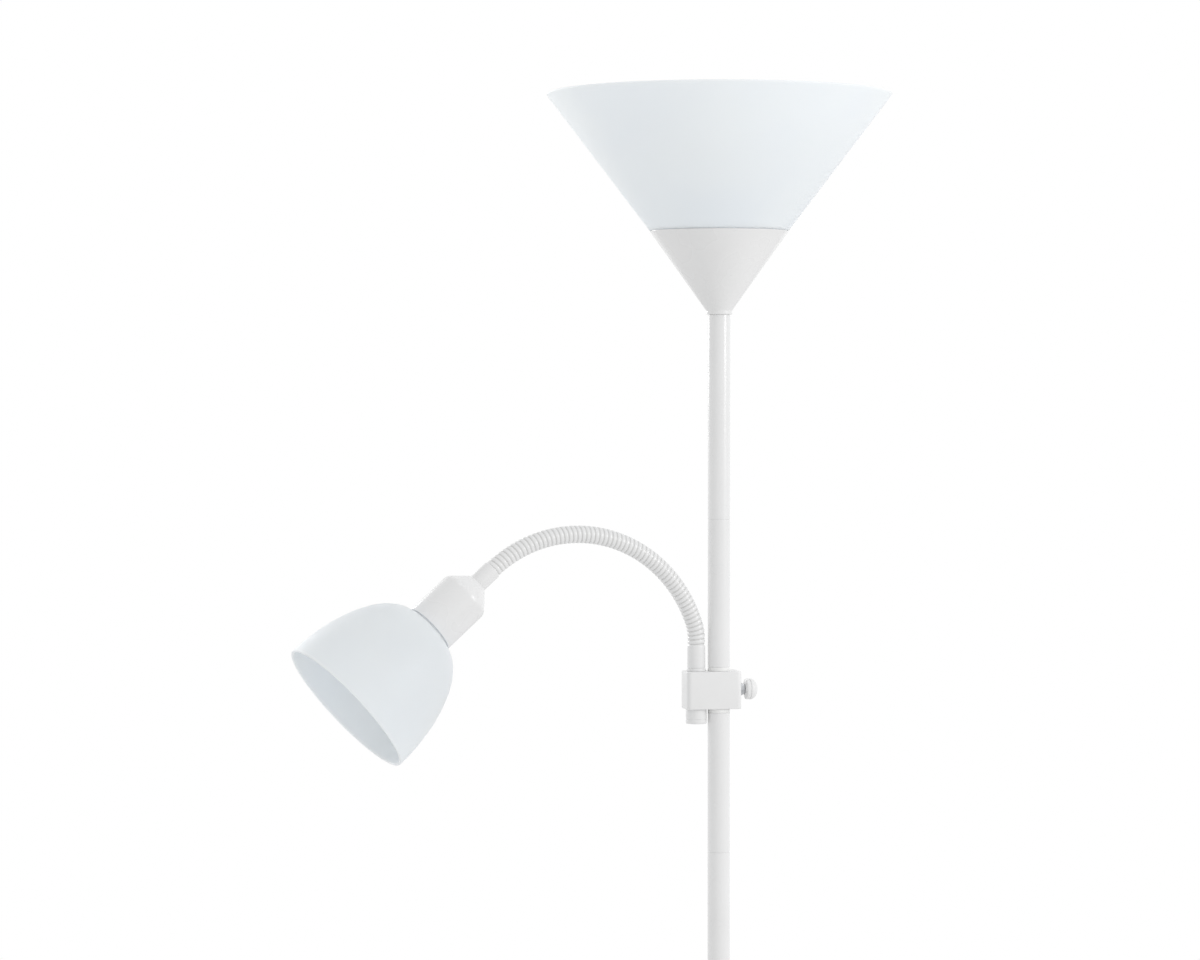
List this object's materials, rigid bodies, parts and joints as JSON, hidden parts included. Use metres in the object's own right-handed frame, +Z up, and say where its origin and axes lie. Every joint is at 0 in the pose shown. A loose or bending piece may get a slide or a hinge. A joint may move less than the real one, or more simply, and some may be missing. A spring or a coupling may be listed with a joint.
{
  "type": "torchiere floor lamp with reading light",
  "caption": "White floor lamp with a frosted conical uplight on a slim pole and a ribbed gooseneck reading light on a switch housing.",
  "frame": {"origin": "on the floor, on the pole's axis, at the middle of the base's underside", "axes": "+Z up along the pole, -X towards the reading light's side, +X towards the switch knob, -Y towards the front"},
  "size_m": [0.4548, 0.258, 1.83],
  "materials": {
    "felt": "matte",
    "weight": "matte",
    "white_paint": "satin",
    "pole_paint": "satin",
    "neck_paint": "satin",
    "frosted_plastic": "matte",
    "white_plastic": "gloss",
    "light_plastic": "satin",
    "dark_plastic": "matte",
    "steel": "satin",
    "brass": "satin",
    "bare_aluminium": "satin",
    "cable": "matte",
    "bulb_glass": "satin"
  },
  "bodies": {
    "stand": {"base_collar": "white_paint", "base_cover": "white_paint", "base_felt_pad": "felt", "base_nipple": "steel", "base_weight": "weight", "cable_inlet_bush": "light_plastic", "housing_nipples": "steel", "housing_screws": "steel", "nipple_nuts": "steel", "pole_cable_lower": "cable", "pole_cable_upper": "cable", "pole_couplers": "steel", "pole_inserts": "steel", "pole_spacers": "light_plastic", "pole_tube_1": "pole_paint", "pole_tube_2": "pole_paint", "pole_tube_3": "pole_paint", "pole_tube_4": "pole_paint", "pole_tube_5": "pole_paint", "pole_tube_above_switch": "pole_paint", "pole_tube_below_switch": "pole_paint", "pole_tube_top": "pole_paint", "switch_body": "dark_plastic", "switch_bush": "steel", "switch_housing": "white_plastic", "switch_housing_cover": "white_plastic", "switch_terminals": "brass", "top_nipple": "steel", "uplight_bulb_cap": "bare_aluminium", "uplight_bulb_glass": "bulb_glass", "uplight_cap": "white_paint", "uplight_centre_contact": "brass", "uplight_lampholder": "dark_plastic", "uplight_screw_shell": "brass", "uplight_shade": "frosted_plastic", "uplight_shade_ring": "light_plastic"},
    "switch_knob": {"switch_knob": "white_plastic", "switch_rotor": "dark_plastic"},
    "neck_base": {"neck_ferrule": "white_paint", "neck_end_nut": "white_paint", "neck_segment_01": "neck_paint", "neck_cable": "cable"},
    "neck_link_02": {"neck_segment_02": "neck_paint"},
    "neck_link_03": {"neck_segment_03": "neck_paint"},
    "neck_link_04": {"neck_segment_04": "neck_paint"},
    "neck_link_05": {"neck_segment_05": "neck_paint"},
    "neck_link_06": {"neck_segment_06": "neck_paint"},
    "neck_link_07": {"neck_segment_07": "neck_paint"},
    "neck_link_08": {"neck_segment_08": "neck_paint"},
    "neck_link_09": {"neck_segment_09": "neck_paint"},
    "head": {"neck_segment_10": "neck_paint", "neck_sleeve": "neck_paint", "lamp_holder_cup": "white_paint", "reading_bulb_cap": "bare_aluminium", "reading_bulb_glass": "bulb_glass", "reading_centre_contact": "brass", "reading_lampholder": "dark_plastic", "reading_screw_shell": "brass", "reading_shade": "frosted_plastic", "reading_shade_ring": "light_plastic"}
  },
  "joints": [
    {"name": "switch_turn", "type": "hinge", "parent": "stand", "child": "switch_knob", "pos_m": [0.0196, 0, 1.387], "axis": [1, 0, 0], "continuous": true},
    {"name": "neck_swivel", "type": "hinge", "parent": "stand", "child": "neck_base", "pos_m": [-0.01735, 0, 1.401], "axis": [0, 0, 1], "range_deg": [-95, 80], "deforming": ["neck_cable"]},
    {"name": "neck_bend_1", "type": "hinge", "parent": "neck_base", "child": "neck_link_02", "pos_m": [-0.02121, -0.00068, 1.44207], "axis": [0.1736, -0.9848, 0], "range_deg": [-10, 5], "deforming": ["neck_cable"]},
    {"name": "neck_bend_2", "type": "hinge", "parent": "neck_link_02", "child": "neck_link_03", "pos_m": [-0.03109, -0.00242, 1.46062], "axis": [0.1736, -0.9848, 0], "range_deg": [-10, 5], "deforming": ["neck_cable"]},
    {"name": "neck_bend_3", "type": "hinge", "parent": "neck_link_03", "child": "neck_link_04", "pos_m": [-0.04457, -0.0048, 1.47667], "axis": [0.1736, -0.9848, 0], "range_deg": [-10, 5], "deforming": ["neck_cable"]},
    {"name": "neck_bend_4", "type": "hinge", "parent": "neck_link_04", "child": "neck_link_05", "pos_m": [-0.06104, -0.0077, 1.48951], "axis": [0.1736, -0.9848, 0], "range_deg": [-10, 5], "deforming": ["neck_cable"]},
    {"name": "neck_bend_5", "type": "hinge", "parent": "neck_link_05", "child": "neck_link_06", "pos_m": [-0.0798, -0.01101, 1.49858], "axis": [0.1736, -0.9848, 0], "range_deg": [-9.5, 9.5], "deforming": ["neck_cable"]},
    {"name": "neck_bend_6", "type": "hinge", "parent": "neck_link_06", "child": "neck_link_07", "pos_m": [-0.1, -0.01457, 1.50347], "axis": [0.1736, -0.9848, 0], "range_deg": [-9.5, 9.5], "deforming": ["neck_cable"]},
    {"name": "neck_bend_7", "type": "hinge", "parent": "neck_link_07", "child": "neck_link_08", "pos_m": [-0.12077, -0.01824, 1.50398], "axis": [0.1736, -0.9848, 0], "range_deg": [-9.5, 9.5], "deforming": ["neck_cable"]},
    {"name": "neck_bend_8", "type": "hinge", "parent": "neck_link_08", "child": "neck_link_09", "pos_m": [-0.14118, -0.02184, 1.50007], "axis": [0.1736, -0.9848, 0], "range_deg": [-9.5, 9.5], "deforming": ["neck_cable"]},
    {"name": "neck_bend_9", "type": "hinge", "parent": "neck_link_09", "child": "head", "pos_m": [-0.16034, -0.02521, 1.49192], "axis": [0.1736, -0.9848, 0], "range_deg": [-9.5, 9.5], "deforming": ["neck_cable"]}
  ],
  "couplings": [
    {"joint": "neck_bend_2", "follows": "neck_bend_1", "ratio": 1},
    {"joint": "neck_bend_3", "follows": "neck_bend_1", "ratio": 1},
    {"joint": "neck_bend_4", "follows": "neck_bend_1", "ratio": 1},
    {"joint": "neck_bend_6", "follows": "neck_bend_5", "ratio": 1},
    {"joint": "neck_bend_7", "follows": "neck_bend_5", "ratio": 1},
    {"joint": "neck_bend_8", "follows": "neck_bend_5", "ratio": 1},
    {"joint": "neck_bend_9", "follows": "neck_bend_5", "ratio": 1}
  ]
}
